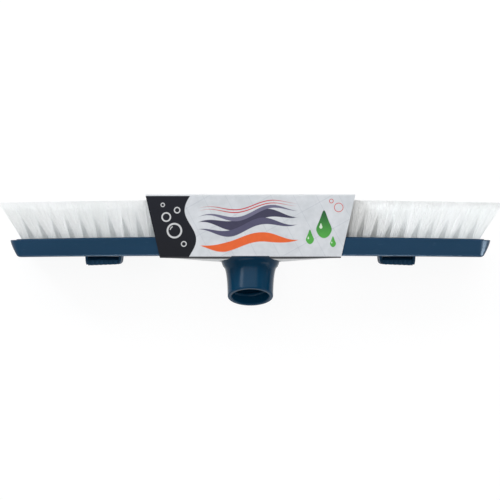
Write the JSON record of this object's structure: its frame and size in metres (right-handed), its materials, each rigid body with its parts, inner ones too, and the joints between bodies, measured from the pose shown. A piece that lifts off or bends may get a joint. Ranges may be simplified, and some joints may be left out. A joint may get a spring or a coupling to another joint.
{
  "type": "scrubbing brush head",
  "caption": "Long arched scrubbing-brush head with fanned bristles, a leaning threaded pole socket, sprung cloth clips on its back and a folded card sleeve.",
  "frame": {"origin": "centre of the bounding box's bottom, on the surface that the head lies on", "axes": "+X along the block, +Y the way the bristles point, +Z from the long side it lies on to the long side that the socket leans to"},
  "size_m": [0.3142, 0.0708, 0.0532],
  "materials": {
    "block_plastic": "satin",
    "socket_plastic": "gloss",
    "clip_plastic": "satin",
    "bristle": "satin",
    "anchor_wire": "satin",
    "spring_steel": "satin",
    "printed_card": "satin"
  },
  "bodies": {
    "brush_head": {"block": "block_plastic", "handle_socket": "socket_plastic", "tufts_row_1": "bristle", "tufts_row_2": "bristle", "tufts_row_3": "bristle", "tufts_row_4": "bristle", "tufts_row_5": "bristle", "anchors_row_1": "anchor_wire", "anchors_row_2": "anchor_wire", "anchors_row_3": "anchor_wire", "anchors_row_4": "anchor_wire", "anchors_row_5": "anchor_wire", "left_clip_base": "clip_plastic", "left_clip_pin": "spring_steel", "left_clip_spring": "spring_steel", "right_clip_base": "clip_plastic", "right_clip_pin": "spring_steel", "right_clip_spring": "spring_steel", "card_sleeve": "printed_card"},
    "left_jaw": {"left_clip_jaw": "clip_plastic"},
    "right_jaw": {"right_clip_jaw": "clip_plastic"}
  },
  "joints": [
    {"name": "left_jaw_hinge", "type": "hinge", "parent": "brush_head", "child": "left_jaw", "pos_m": [-0.0935, -0.00609, 0.0246], "axis": [1, 0, 0], "range_deg": [0, 15], "stiffness_Nm_per_rad": 0.1, "springref_deg": -17.19, "deforming": ["left_clip_spring"]},
    {"name": "right_jaw_hinge", "type": "hinge", "parent": "brush_head", "child": "right_jaw", "pos_m": [0.0935, -0.00609, 0.0246], "axis": [1, 0, 0], "range_deg": [0, 15], "stiffness_Nm_per_rad": 0.1, "springref_deg": -17.19, "deforming": ["right_clip_spring"]}
  ]
}
